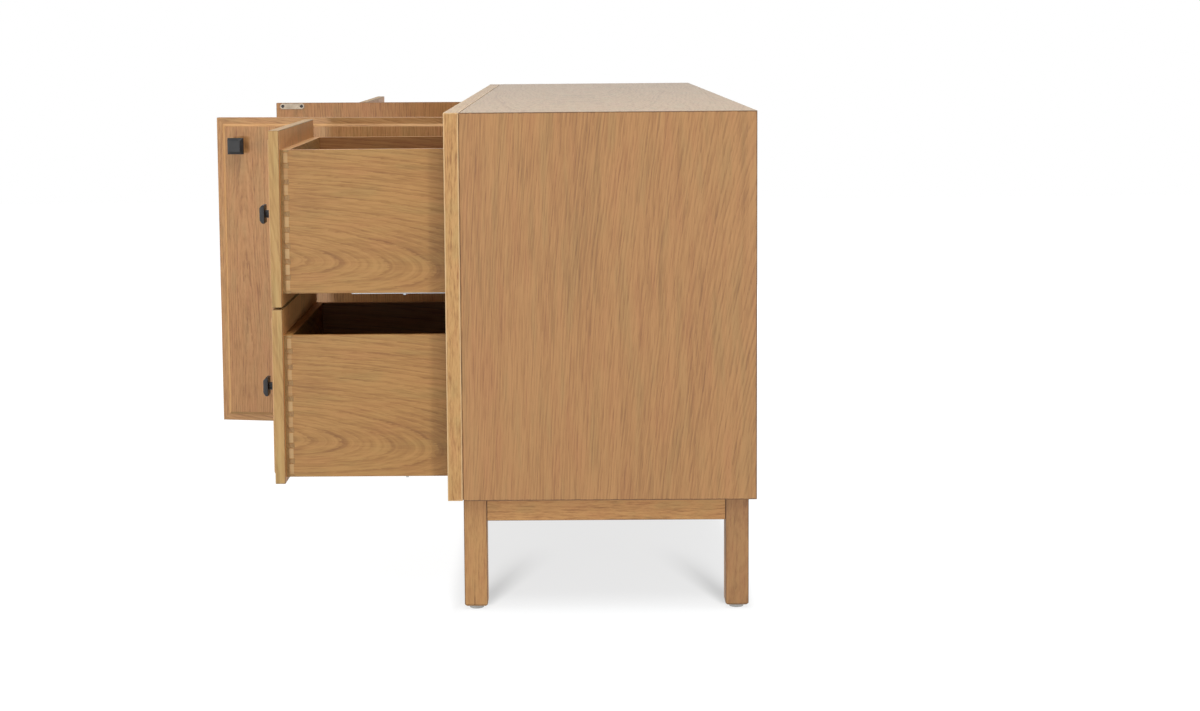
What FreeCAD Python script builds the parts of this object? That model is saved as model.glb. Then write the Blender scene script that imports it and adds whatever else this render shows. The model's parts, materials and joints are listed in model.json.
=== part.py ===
import FreeCAD, Part
import os
import re

# Sideboard, millimetres, +Z up. The long side runs along X, the doors and drawers face -Y.
# The origin lies on the floor under the middle of the open piece's box, so that the standing
# piece is centred with its doors and drawers open as they are drawn.

doc = FreeCAD.newDocument("sideboard")
sheet = doc.addObject("Spreadsheet::Sheet", "dims")

DIMENSIONS = {
    # case
    "case_length": 1829,
    "case_depth": 457,
    "case_height": 574,
    "end_thickness": 22,
    "top_thickness": 22,
    "bottom_thickness": 19,
    "partition_thickness": 28,
    "lipping_depth": 22,
    "groove_width": 1.5,
    "groove_depth": 1.5,
    "back_thickness": 9,
    "back_inset": 6,
    "front_gap": 3,
    # cupboard
    "shelf_thickness": 20,
    "shelf_setback": 45,
    "shelf_play": 1,
    "shelf_height": 262,
    "pin_radius": 2.5,
    "pin_reach": 9,
    "pin_socket": 8,
    "pin_setback": 50,
    "catch_width": 46,
    "catch_depth": 16,
    "catch_height": 15,
    "catch_play": 0.3,
    # base
    "leg_width": 34.5,
    "leg_height": 163,
    "leg_front_inset": 22.5,
    "leg_back_inset": 11,
    "leg_end_inset": 12,
    "leg_chamfer": 3,
    "rail_height": 33,
    "rail_thickness": 22,
    "rail_recess": 1.5,
    "glide_radius": 10.8,
    "glide_height": 5,
    "block_length": 60,
    "block_width": 20,
    "block_height": 22,
    "block_end_distance": 260,
    # drawer and door fronts
    "board_thickness": 15,
    "field_rise": 3.5,
    "field_margin": 11,
    "field_bevel": 4,
    # knobs
    "knob_width": 28,
    "knob_bevel": 4.5,
    "knob_bevel_depth": 4,
    "knob_plate": 8,
    "knob_projection": 26,
    "knob_stem_radius": 6,
    "drawer_knob_inset": 105,
    "door_knob_inset": 41,
    "door_knob_drop": 48,
    # drawer boxes
    "box_inset": 13.5,
    "box_top_drop": 29,
    "box_back_play": 23.5,
    "side_thickness": 12,
    "box_front_thickness": 12.5,
    "lap_thickness": 4,
    "box_back_thickness": 12,
    "back_housing": 4,
    "back_drop": 12,
    "tray_thickness": 6,
    "tray_height": 12,
    "tray_groove": 5,
    "upper_box_rise": 19.5,
    "lower_box_rise": 8,
    "tail_slope": 1.7,
    "pin_neck": 5,
    # runners
    "sheet_gauge": 1.2,
    "runner_play": 0.4,
    "runner_width": 19,
    "runner_skirt": 1.5,
    "runner_side_gap": 1,
    "runner_back_play": 10,
    "middle_setback": 20,
    "middle_drop": 3,
    "runner_front_play": 1,
    "stop_setback": 77,
    "stop_width": 4,
    "stop_drop": 2,
    "bracket_gauge": 1.5,
    "bracket_drop": 7,
    "bracket_flange": 25,
    # hinges
    "hinge_length": 50,
    "hinge_end_distance": 75,
    "leaf_gauge": 1.2,
    "leaf_depth": 17,
    "knuckle_radius": 2.9,
    "axis_reach": 3.2,
    "hinge_pin_radius": 1.5,
    "hinge_bore_radius": 1.55,
    "knuckle_play": 0.2,
    "knuckle_notch_play": 0.3,
    # strike plates
    "strike_length": 52,
    "strike_width": 12,
    "strike_gauge": 1.5,
    "strike_edge": 8,
    "strike_drop": 1,
    "screw_head_radius": 3.4,
    "screw_slot_width": 1,
    "screw_slot_depth": 0.8,
    # places of the moving pieces, in millimetres and degrees
    "drawer_out": 262,
    "middle_travel_share": 0.6667,
    "right_door_angle": 80,
    "left_door_angle": 95.5,
    # spare length of a cutting tool past the face that it opens
    "overrun": 1,
}
DRAWER_TAILS = 9
KNUCKLES = 3

for row, (alias, value) in enumerate(DIMENSIONS.items(), start=1):
    sheet.set(f"A{row}", alias)
    sheet.set(f"B{row}", str(value))
    sheet.setAlias(f"B{row}", alias)
doc.recompute()


def formula(text):
    """Turn the bare names of sizes in a formula into references to the sheet."""
    def to_reference(match):
        word = match.group(0)
        return f"dims.{word}" if word in DIMENSIONS else word
    return re.sub(r"[a-z][a-z_]*", to_reference, text)


def bind(item, **formulas):
    """Tie properties of an object to formulas; a double underscore stands for a dot."""
    for name, text in formulas.items():
        item.setExpression(name.replace("__", "."), formula(str(text)))
    return item


def block(name, x, y, z):
    """A plain rectangular piece from three (low, high) pairs."""
    return bind(doc.addObject("Part::Box", name),
                Length=f"({x[1]}) - ({x[0]})", Width=f"({y[1]}) - ({y[0]})", Height=f"({z[1]}) - ({z[0]})",
                Placement__Base__x=x[0], Placement__Base__y=y[0], Placement__Base__z=z[0])


def taper(name, along, low, high):
    """A piece between two parallel rectangles; low and high are (place, first pair, second pair).

    Along "y" the pairs are X and Z, along "z" they are X and Y, and along "x" they are Y and Z.
    """
    item = doc.addObject("Part::Wedge", name)
    turned = {"y": (FreeCAD.Vector(1, 0, 0), 0), "z": (FreeCAD.Vector(1, 0, 0), 90),
              "x": (FreeCAD.Vector(0, 0, 1), -90)}
    item.Placement = FreeCAD.Placement(FreeCAD.Vector(), FreeCAD.Rotation(*turned[along]))

    def local(pairs):
        first, second = pairs
        if along == "z":
            return first, (f"-({second[1]})", f"-({second[0]})")
        if along == "x":
            return (f"-({first[1]})", f"-({first[0]})"), second
        return first, second

    (x_low, z_low), (x_high, z_high) = local(low[1:]), local(high[1:])
    return bind(item, Ymin=low[0], Ymax=high[0], Xmin=x_low[0], Xmax=x_low[1], Zmin=z_low[0], Zmax=z_low[1],
                X2min=x_high[0], X2max=x_high[1], Z2min=z_high[0], Z2max=z_high[1])


def post(name, radius, height, x, y, z):
    """An upright round piece standing at a place."""
    return bind(doc.addObject("Part::Cylinder", name), Radius=radius, Height=height,
                Placement__Base__x=x, Placement__Base__y=y, Placement__Base__z=z)


def stud(name, radius, length, x, y, z):
    """A round piece that points forwards, along -Y, from a place."""
    item = doc.addObject("Part::Cylinder", name)
    item.Placement = FreeCAD.Placement(FreeCAD.Vector(), FreeCAD.Rotation(FreeCAD.Vector(1, 0, 0), 90))
    return bind(item, Radius=radius, Height=length,
                Placement__Base__x=x, Placement__Base__y=y, Placement__Base__z=z)


def joined(name, pieces):
    item = doc.addObject("Part::MultiFuse", name)
    item.Shapes = pieces
    item.Refine = True
    return item


def cut(name, base, tools):
    item = doc.addObject("Part::Cut", name)
    item.Base = base
    item.Tool = tools[0] if len(tools) == 1 else group(name + "_tools", tools)
    return item


def group(name, pieces):
    """Separate solids that are handled together."""
    item = doc.addObject("Part::Compound", name)
    item.Links = pieces
    return item


def placed(name, pieces, x="0", y="0", z="0"):
    """A node: one or more pieces set down at a place."""
    item = bind(group(name, pieces), Placement__Base__x=x, Placement__Base__y=y, Placement__Base__z=z)
    item.Label = name
    NODES.append(item)
    return item


def swung(name, pieces, x, y, z, centre_x, centre_y, angle):
    """A node set down at a place and turned about an upright line through its own centre point."""
    item = group(name, pieces)
    item.Label = name
    item.setExpression("Placement", formula(
        f"placement(vector({x}; {y}; {z}); rotation(vector(0; 0; 1); {angle});"
        f" vector({centre_x}; {centre_y}; 0))"))
    NODES.append(item)
    return item


def kept(name, piece):
    """A node that already stands in its place."""
    piece.Label = name
    NODES.append(piece)
    return piece


NODES = []
SIDES = {"right": 1, "left": -1}

# Heights of the case above the floor.
CASE_BOTTOM = "(glide_height + leg_height)"
CASE_TOP = "(glide_height + leg_height + case_height)"
FLOOR_OF_CASE = f"({CASE_BOTTOM} + bottom_thickness)"
CEILING = f"({CASE_TOP} - top_thickness)"

# The four fronts share what the ends, the partitions and the seven gaps leave of the length.
FRONT_WIDTH = "((case_length - 2 * end_thickness - 2 * partition_thickness - 7 * front_gap) / 4)"
DOOR_HEIGHT = "(case_height - top_thickness - bottom_thickness - 2 * front_gap)"
DRAWER_HEIGHT = f"(({DOOR_HEIGHT} - front_gap) / 2)"
FRONT_DEPTH = "(board_thickness + field_rise)"
FRONT_FOOT = f"({FLOOR_OF_CASE} + front_gap)"

# The open door that stands out furthest, measured from the front of the case.
DOOR_SPAN = f"({FRONT_WIDTH} + front_gap / 2)"
REACH = (f"(axis_reach + {DOOR_SPAN} * sin(left_door_angle)"
         f" - (axis_reach + {FRONT_DEPTH}) * cos(left_door_angle))")
FRONT_Y = f"(({REACH} - case_depth) / 2)"
BACK_Y = f"({FRONT_Y} + case_depth)"
BACK_PANEL_Y = f"({BACK_Y} - back_inset - back_thickness)"

HALF_LENGTH = "(case_length / 2)"
INNER_HALF = f"({HALF_LENGTH} - end_thickness)"
PARTITION_INNER = f"({FRONT_WIDTH} + front_gap * 1.5)"
PARTITION_OUTER = f"({PARTITION_INNER} + partition_thickness)"
DRAWER_CENTRE = f"({PARTITION_OUTER} + front_gap + {FRONT_WIDTH} / 2)"
DOOR_CENTRE = f"(({FRONT_WIDTH} + front_gap) / 2)"


def mirrored(side, low, high):
    """A pair of places right of the middle, or the same pair left of it."""
    return (low, high) if side > 0 else (f"-({high})", f"-({low})")


# Case panels. Top, bottom and ends meet in mitres, and a fine groove parts each from its lipping.
PANEL_Y = (f"({FRONT_Y} + lipping_depth)", BACK_Y)
LIPPING_Y = (FRONT_Y, f"({FRONT_Y} + lipping_depth)")
GROOVE_Y = (LIPPING_Y[1], f"({LIPPING_Y[1]} + groove_width)")
FULL_X = (f"-{HALF_LENGTH}", HALF_LENGTH)
INNER_X = (f"-{INNER_HALF}", INNER_HALF)
FULL_Z = (CASE_BOTTOM, CASE_TOP)
INNER_Z = (FLOOR_OF_CASE, CEILING)

for part_name, span in (("panel", PANEL_Y), ("lipping", LIPPING_Y)):
    top = taper(f"top_{part_name}_board", "z", (CEILING, INNER_X, span), (CASE_TOP, FULL_X, span))
    bottom = taper(f"bottom_{part_name}_board", "z",
                   (CASE_BOTTOM, FULL_X, span), (FLOOR_OF_CASE, INNER_X, span))
    right = taper(f"right_{part_name}_board", "x",
                  (INNER_HALF, span, INNER_Z), (HALF_LENGTH, span, FULL_Z))
    left = taper(f"left_{part_name}_board", "x",
                 (f"-{HALF_LENGTH}", span, FULL_Z), (f"-{INNER_HALF}", span, INNER_Z))
    if part_name == "lipping":
        for side_name, board in (("top", top), ("bottom", bottom), ("right", right), ("left", left)):
            kept(f"{side_name}_lipping", board)
        continue
    wide_x = (f"-{HALF_LENGTH} - overrun", f"{HALF_LENGTH} + overrun")
    wide_z = (f"{CASE_BOTTOM} - overrun", f"{CASE_TOP} + overrun")
    grooves = {
        "top": block("top_groove", wide_x, GROOVE_Y, (f"{CASE_TOP} - groove_depth", wide_z[1])),
        "bottom": block("bottom_groove", wide_x, GROOVE_Y, (wide_z[0], f"{CASE_BOTTOM} + groove_depth")),
        "right": block("right_groove", (f"{HALF_LENGTH} - groove_depth", wide_x[1]), GROOVE_Y, wide_z),
        "left": block("left_groove", (wide_x[0], f"groove_depth - {HALF_LENGTH}"), GROOVE_Y, wide_z),
    }
    kept("top_panel", cut("top_board_cut", top, [grooves["top"]]))
    kept("bottom_panel", cut("bottom_board_cut", bottom, [grooves["bottom"]]))
    kept("right_end_panel", cut("right_board_cut", right, [grooves["right"]]))
    kept("left_end_panel", cut("left_board_cut", left, [grooves["left"]]))

kept("back_panel", block("back_board", INNER_X, (BACK_PANEL_Y, f"{BACK_Y} - back_inset"), INNER_Z))

# Partitions between the drawers and the cupboard, bored for the shelf pins.
SHELF_FOOT = f"({FLOOR_OF_CASE} + shelf_height)"
PIN_PLACES = (f"({FRONT_Y} + shelf_setback + pin_setback)", f"({BACK_PANEL_Y} - pin_setback)")
shelf_pins = []
for side_name, side in SIDES.items():
    x = mirrored(side, PARTITION_INNER, PARTITION_OUTER)
    board = block(f"{side_name}_partition_board", x, (FRONT_Y, BACK_PANEL_Y), INNER_Z)
    pins = []
    for number, pin_y in enumerate(PIN_PLACES, start=1):
        pin = doc.addObject("Part::Cylinder", f"{side_name}_shelf_pin_{number}")
        pin.Placement = FreeCAD.Placement(FreeCAD.Vector(), FreeCAD.Rotation(FreeCAD.Vector(0, 1, 0), 90))
        inner = f"{PARTITION_INNER} - pin_reach" if side > 0 else f"-{PARTITION_INNER} - pin_socket"
        pins.append(bind(pin, Radius="pin_radius", Height="pin_reach + pin_socket", Placement__Base__x=inner,
                         Placement__Base__y=pin_y, Placement__Base__z=f"{SHELF_FOOT} - pin_radius"))
    kept(f"{side_name}_partition", cut(f"{side_name}_partition_cut", board, pins))
    shelf_pins += pins
placed("shelf_pins", shelf_pins)
kept("shelf", block("shelf_board", (f"shelf_play - {PARTITION_INNER}", f"{PARTITION_INNER} - shelf_play"),
                    (f"{FRONT_Y} + shelf_setback", f"{BACK_PANEL_Y} - shelf_play"),
                    (SHELF_FOOT, f"{SHELF_FOOT} + shelf_thickness")))

# Magnetic catches under the top, one behind each strike plate.
STRIKE_MIDDLE = "(front_gap / 2 + strike_edge + strike_length / 2)"
PLATE_FACE = f"({FRONT_DEPTH} + strike_gauge)"
CATCH_Y = f"({FRONT_Y} + {PLATE_FACE} + catch_play)"
catches = [block(f"{side_name}_catch",
                 mirrored(side, f"{STRIKE_MIDDLE} - catch_width / 2", f"{STRIKE_MIDDLE} + catch_width / 2"),
                 (CATCH_Y, f"{CATCH_Y} + catch_depth"), (f"{CEILING} - catch_height", CEILING))
           for side_name, side in SIDES.items()]
placed("magnetic_catches", catches)

# Base: square legs with an eased foot, joined by rails just inside their faces, on round glides.
leg = joined("leg_pattern", [
    block("leg_shaft", ("0", "leg_width"), ("0", "leg_width"), ("leg_chamfer", "leg_height")),
    taper("leg_foot", "z",
          ("0", ("leg_chamfer", "leg_width - leg_chamfer"), ("leg_chamfer", "leg_width - leg_chamfer")),
          ("leg_chamfer", ("0", "leg_width"), ("0", "leg_width")))])
LEG_OUTER = f"({HALF_LENGTH} - leg_end_inset)"
LEG_INNER = f"({LEG_OUTER} - leg_width)"
FRONT_LEG_Y = f"({FRONT_Y} + leg_front_inset)"
BACK_LEG_Y = f"({BACK_Y} - leg_back_inset - leg_width)"
RAIL_Z = (f"{CASE_BOTTOM} - rail_height", CASE_BOTTOM)
glides, side_rails, long_rails, blocks = [], [], [], []
for depth_name, leg_y in (("front", FRONT_LEG_Y), ("back", BACK_LEG_Y)):
    for side_name, side in SIDES.items():
        low_x = mirrored(side, LEG_INNER, LEG_OUTER)[0]
        placed(f"{depth_name}_{side_name}_leg", [leg], low_x, leg_y, "glide_height")
        glides.append(post(f"{depth_name}_{side_name}_glide", "glide_radius", "glide_height",
                           f"{low_x} + leg_width / 2", f"{leg_y} + leg_width / 2", "0"))
    rail_low = f"({leg_y} + rail_recess)"
    if depth_name == "back":
        rail_low = f"({leg_y} + leg_width - rail_recess - rail_thickness)"
    rail_y = (rail_low, f"({rail_low} + rail_thickness)")
    long_rails.append(block(f"{depth_name}_long_rail", (f"-{LEG_INNER}", LEG_INNER), rail_y, RAIL_Z))
    block_y = (rail_y[1], f"{rail_y[1]} + block_width")
    if depth_name == "back":
        block_y = (f"{rail_y[0]} - block_width", rail_y[0])
    for side_name, side in SIDES.items():
        block_end = f"({LEG_INNER} - block_end_distance)"
        blocks.append(block(f"{depth_name}_{side_name}_block",
                            mirrored(side, block_end, f"{block_end} + block_length"), block_y,
                            (f"{CASE_BOTTOM} - block_height", CASE_BOTTOM)))
for side_name, side in SIDES.items():
    x = mirrored(side, f"{LEG_OUTER} - rail_recess - rail_thickness", f"{LEG_OUTER} - rail_recess")
    side_rails.append(block(f"{side_name}_side_rail", x, (f"{FRONT_LEG_Y} + leg_width", BACK_LEG_Y), RAIL_Z))
placed("glides", glides)
placed("side_rails", side_rails)
placed("long_rails", long_rails)
placed("fixing_blocks", blocks)


# Fronts: a flat board whose raised field has a bevelled edge. They are drawn about the middle of
# their own width, with the face of the field at zero and their foot at zero.
def front_board(name, height):
    half = f"({FRONT_WIDTH} / 2)"
    foot = "(field_margin + field_bevel)"
    return joined(name, [
        block(f"{name}_flat", (f"-{half}", half), ("field_rise", FRONT_DEPTH), ("0", height)),
        taper(f"{name}_field", "y",
              ("0", (f"{foot} - {half}", f"{half} - {foot}"), (foot, f"{height} - {foot}")),
              ("field_rise", (f"field_margin - {half}", f"{half} - field_margin"),
               ("field_margin", f"{height} - field_margin")))])


drawer_front = front_board("drawer_front_pattern", DRAWER_HEIGHT)
door_board = front_board("door_pattern", DOOR_HEIGHT)

# Knob: a square plate with a bevelled face on a round stem, drawn about the place it is screwed to.
plate_span = ("-knob_width / 2", "knob_width / 2")
face_span = ("knob_bevel - knob_width / 2", "knob_width / 2 - knob_bevel")
knob = joined("knob_pattern", [
    stud("knob_stem", "knob_stem_radius", "knob_projection - knob_plate / 2", "0", "0", "0"),
    block("knob_back", plate_span, ("knob_bevel_depth - knob_projection", "knob_plate - knob_projection"),
          plate_span),
    taper("knob_face", "y", ("-knob_projection", face_span, face_span),
          ("knob_bevel_depth - knob_projection", plate_span, plate_span))])

# Drawer box, drawn about the middle of its width, with the face of the drawer front at zero and
# its lower edge at zero. The front board laps the ends of the tails, so they show only from the side.
BOX_HALF = f"({FRONT_WIDTH} / 2 - box_inset)"
BOX_HEIGHT = f"({DRAWER_HEIGHT} - upper_box_rise - box_top_drop)"
BAY_DEPTH = "(case_depth - back_inset - back_thickness)"
BOX_Y = (FRONT_DEPTH, f"({BAY_DEPTH} - box_back_play)")
TAIL_Y = (f"({FRONT_DEPTH} + lap_thickness)", f"({FRONT_DEPTH} + box_front_thickness)")
TAIL_PITCH = f"({BOX_HEIGHT} / {DRAWER_TAILS})"
tray_end = f"({BOX_HALF} - side_thickness + tray_groove)"
tray = block("tray_board", (f"-{tray_end}", tray_end), (f"{TAIL_Y[1]} - tray_groove", BOX_Y[1]),
             ("tray_height", "tray_height + tray_thickness"))
back_end = f"({BOX_HALF} - side_thickness + back_housing)"
back_board = block("box_back_board", (f"-{back_end}", back_end),
                   (f"{BOX_Y[1]} - box_back_thickness", BOX_Y[1]),
                   ("tray_height + tray_thickness", f"{BOX_HEIGHT} - back_drop"))
box_sides, pin_rows = [], []
for side_name, side in SIDES.items():
    x = mirrored(side, f"{BOX_HALF} - side_thickness", BOX_HALF)
    pins = []
    for number in range(DRAWER_TAILS + 1):
        middle = f"({number} * {TAIL_PITCH})"
        neck = (f"{middle} - pin_neck / 2", f"{middle} + pin_neck / 2")
        root = (f"{neck[0]} - tail_slope", f"{neck[1]} + tail_slope")
        if number == 0:
            neck, root = ("0", neck[1]), ("0", root[1])
        if number == DRAWER_TAILS:
            neck, root = (neck[0], BOX_HEIGHT), (root[0], BOX_HEIGHT)
        pins.append(taper(f"{side_name}_dovetail_pin_{number}", "y",
                          (TAIL_Y[0], x, neck), (TAIL_Y[1], x, root)))
    board = block(f"{side_name}_side_board", x, (TAIL_Y[0], BOX_Y[1]), ("0", BOX_HEIGHT))
    box_sides.append(cut(f"{side_name}_box_side", board, pins + [tray, back_board]))
    pin_rows += pins
box_front = cut("box_front", joined("box_front_joined", [
    block("box_front_lap", (f"-{BOX_HALF}", BOX_HALF), (BOX_Y[0], TAIL_Y[0]), ("0", BOX_HEIGHT)),
    block("box_front_core", (f"side_thickness - {BOX_HALF}", f"{BOX_HALF} - side_thickness"), TAIL_Y,
          ("0", BOX_HEIGHT))] + pin_rows), [tray])

# Runners under the box. The drawer member and the middle member are channels, one in the other,
# and the case member is a channel on a bracket that is screwed to the wall of the bay.
RUNNER_MIDDLE = f"({BOX_HALF} - side_thickness - runner_side_gap - runner_width / 2)"
WALL_X = f"({FRONT_WIDTH} / 2 + front_gap)"
RUNNER_Y = (f"({TAIL_Y[1]} + runner_front_play)", f"({BAY_DEPTH} - runner_back_play)")
MIDDLE_HALF = "(runner_width / 2 - sheet_gauge - runner_play)"
CORE_HALF = f"({MIDDLE_HALF} - sheet_gauge - runner_play)"
MIDDLE_TOP = "(tray_height - sheet_gauge - runner_play)"
CORE_TOP = f"({MIDDLE_TOP} - sheet_gauge - runner_play)"
WEB_TOP = "(bracket_gauge - bracket_drop)"


def channel(name, middle, half, y, z, opens_down=True):
    """A folded strip with two walls and a web, open below or above."""
    inner_half = f"({half} - sheet_gauge)"
    inner_z = (f"{z[0]} - overrun", f"{z[1]} - sheet_gauge")
    if not opens_down:
        inner_z = (f"{z[0]} + sheet_gauge", f"{z[1]} + overrun")
    outside = block(f"{name}_outside", (f"{middle} - {half}", f"{middle} + {half}"), y, z)
    inside = block(f"{name}_inside", (f"{middle} - {inner_half}", f"{middle} + {inner_half}"),
                   (f"{y[0]} - overrun", f"{y[1]} + overrun"), inner_z)
    return cut(name, outside, [inside])


drawer_members, middle_members, case_members = [], [], []
for side_name, side in SIDES.items():
    middle = RUNNER_MIDDLE if side > 0 else f"(-{RUNNER_MIDDLE})"
    drawer_members.append(channel(f"{side_name}_drawer_member", middle, "(runner_width / 2)",
                                  (RUNNER_Y[0], BOX_Y[1]), ("-runner_skirt", "tray_height")))
    strip = channel(f"{side_name}_middle_strip", middle, MIDDLE_HALF,
                    (RUNNER_Y[0], f"{RUNNER_Y[1]} - middle_setback"), ("-middle_drop", MIDDLE_TOP))
    outer_wall = f"({RUNNER_MIDDLE} + {MIDDLE_HALF})"
    stop = block(f"{side_name}_middle_stop", mirrored(side, f"{outer_wall} - sheet_gauge", outer_wall),
                 (f"{RUNNER_Y[0]} + stop_setback", f"{RUNNER_Y[0]} + stop_setback + stop_width"),
                 ("-middle_drop - stop_drop", "-middle_drop"))
    middle_members.append(joined(f"{side_name}_middle_member", [strip, stop]))
    core = channel(f"{side_name}_case_core", middle, CORE_HALF, RUNNER_Y, ("-bracket_drop", CORE_TOP),
                   opens_down=False)
    web = block(f"{side_name}_case_web",
                mirrored(side, f"{RUNNER_MIDDLE} + {CORE_HALF} - sheet_gauge", WALL_X), RUNNER_Y,
                ("-bracket_drop", WEB_TOP))
    flange = block(f"{side_name}_case_flange", mirrored(side, f"{WALL_X} - bracket_gauge", WALL_X),
                   RUNNER_Y, ("-bracket_drop", "bracket_flange"))
    case_members.append(joined(f"{side_name}_case_member", [core, web, flange]))

# The four drawers, standing open, and their runners.
DRAWER_Y = f"({FRONT_Y} - drawer_out)"
MIDDLE_Y = f"({FRONT_Y} - drawer_out * middle_travel_share)"
ROWS = {"upper": (f"({FRONT_FOOT} + {DRAWER_HEIGHT} + front_gap)", "upper_box_rise"),
        "lower": (FRONT_FOOT, "lower_box_rise")}
KNOB_X = f"({FRONT_WIDTH} / 2 - drawer_knob_inset)"
knob_pair = [bind(group(f"{side_name}_drawer_knob", [knob]), Placement__Base__x=f"{side} * {KNOB_X}",
                  Placement__Base__z=f"{DRAWER_HEIGHT} / 2") for side_name, side in SIDES.items()]
drawer_knobs = group("drawer_knob_pair", knob_pair)
case_runners = []
for side_name, side in SIDES.items():
    for row_name, (foot, rise) in ROWS.items():
        drawer = f"{side_name}_{row_name}_drawer"
        x = f"{side} * {DRAWER_CENTRE}"
        box_z = f"{foot} + {rise}"
        placed(f"{drawer}_front", [drawer_front], x, DRAWER_Y, foot)
        placed(f"{drawer}_knobs", [drawer_knobs], x, DRAWER_Y, foot)
        placed(f"{drawer}_box_sides", box_sides, x, DRAWER_Y, box_z)
        placed(f"{drawer}_box_ends", [box_front, back_board], x, DRAWER_Y, box_z)
        placed(f"{drawer}_box_bottom", [tray], x, DRAWER_Y, box_z)
        placed(f"{drawer}_slides", drawer_members, x, DRAWER_Y, box_z)
        placed(f"{drawer}_middle_slides", middle_members, x, MIDDLE_Y, box_z)
        case_runners.append(bind(group(f"{drawer}_case_runners", case_members), Placement__Base__x=x,
                                 Placement__Base__y=FRONT_Y, Placement__Base__z=box_z))
placed("case_slides", case_runners)

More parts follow.
